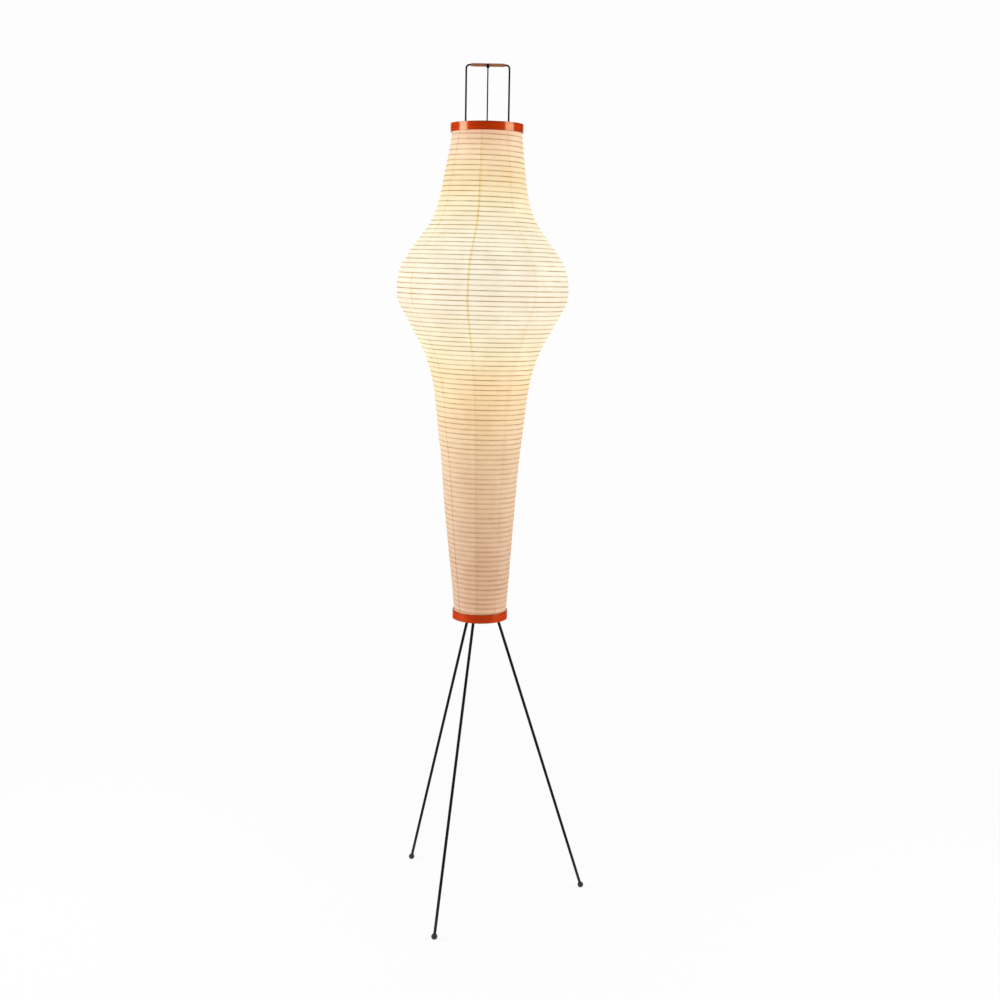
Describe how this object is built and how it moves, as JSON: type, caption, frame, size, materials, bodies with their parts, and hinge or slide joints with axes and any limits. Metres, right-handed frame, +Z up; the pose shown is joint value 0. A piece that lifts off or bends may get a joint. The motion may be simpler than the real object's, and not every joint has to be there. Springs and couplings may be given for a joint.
{
  "type": "floor lamp",
  "caption": "Tall paper lantern floor lamp on a tripod of thin rods, with a spiral-ribbed paper shade, lacquered end bands and a wire carrying handle.",
  "frame": {"origin": "on the floor, under the lamp's middle line", "axes": "+Z up along the lamp's middle line, -Y towards the front, +X to the right seen from the front"},
  "size_m": [0.4366, 0.4373, 1.8516],
  "materials": {
    "black_iron": "satin",
    "zinc_steel": "satin",
    "black_rubber": "matte",
    "orange_lacquer": "gloss",
    "brass": "satin",
    "brown_grip": "satin",
    "black_plastic": "satin",
    "porcelain": "gloss",
    "bulb_metal": "satin",
    "opal_glass": "satin",
    "clear_glass": "gloss",
    "tungsten": "satin",
    "washi_paper": "matte",
    "bamboo": "satin"
  },
  "bodies": {
    "stand": {"tripod_hub": "black_iron", "leg_right": "black_iron", "leg_left": "black_iron", "leg_front": "black_iron", "leg_lock_nuts": "zinc_steel", "foot_right": "black_rubber", "foot_left": "black_rubber", "foot_front": "black_rubber", "carrier_plate": "black_iron", "lower_band": "orange_lacquer", "lower_band_screws": "brass", "wide_hoop": "black_iron", "cross_hoop": "black_iron", "hoop_nuts": "zinc_steel", "crossing_clip": "black_iron", "grip_left": "brown_grip", "grip_right": "brown_grip", "lamp_stem": "zinc_steel", "stem_nuts": "zinc_steel", "stem_washers": "zinc_steel", "cord_inlet_bush": "black_plastic", "holder_cap": "black_plastic", "holder_shell": "black_plastic", "holder_insulator": "porcelain", "terminal_screws": "brass", "holder_thread": "brass", "holder_contact": "brass", "bulb_base": "bulb_metal", "bulb_contact": "bulb_metal", "bulb_glass": "opal_glass", "bulb_mount": "clear_glass", "bulb_filament": "tungsten", "paper_shade": "washi_paper", "bamboo_rib": "bamboo"},
    "lantern_top": {"upper_band": "orange_lacquer", "top_carrier": "black_iron", "upright_bushes": "black_rubber", "upper_band_screws": "brass"}
  },
  "joints": [
    {"name": "shade_fold", "type": "slide", "parent": "stand", "child": "lantern_top", "axis": [0, 0, 1], "range_m": [-0.835, 0], "deforming": ["paper_shade", "bamboo_rib"]}
  ]
}
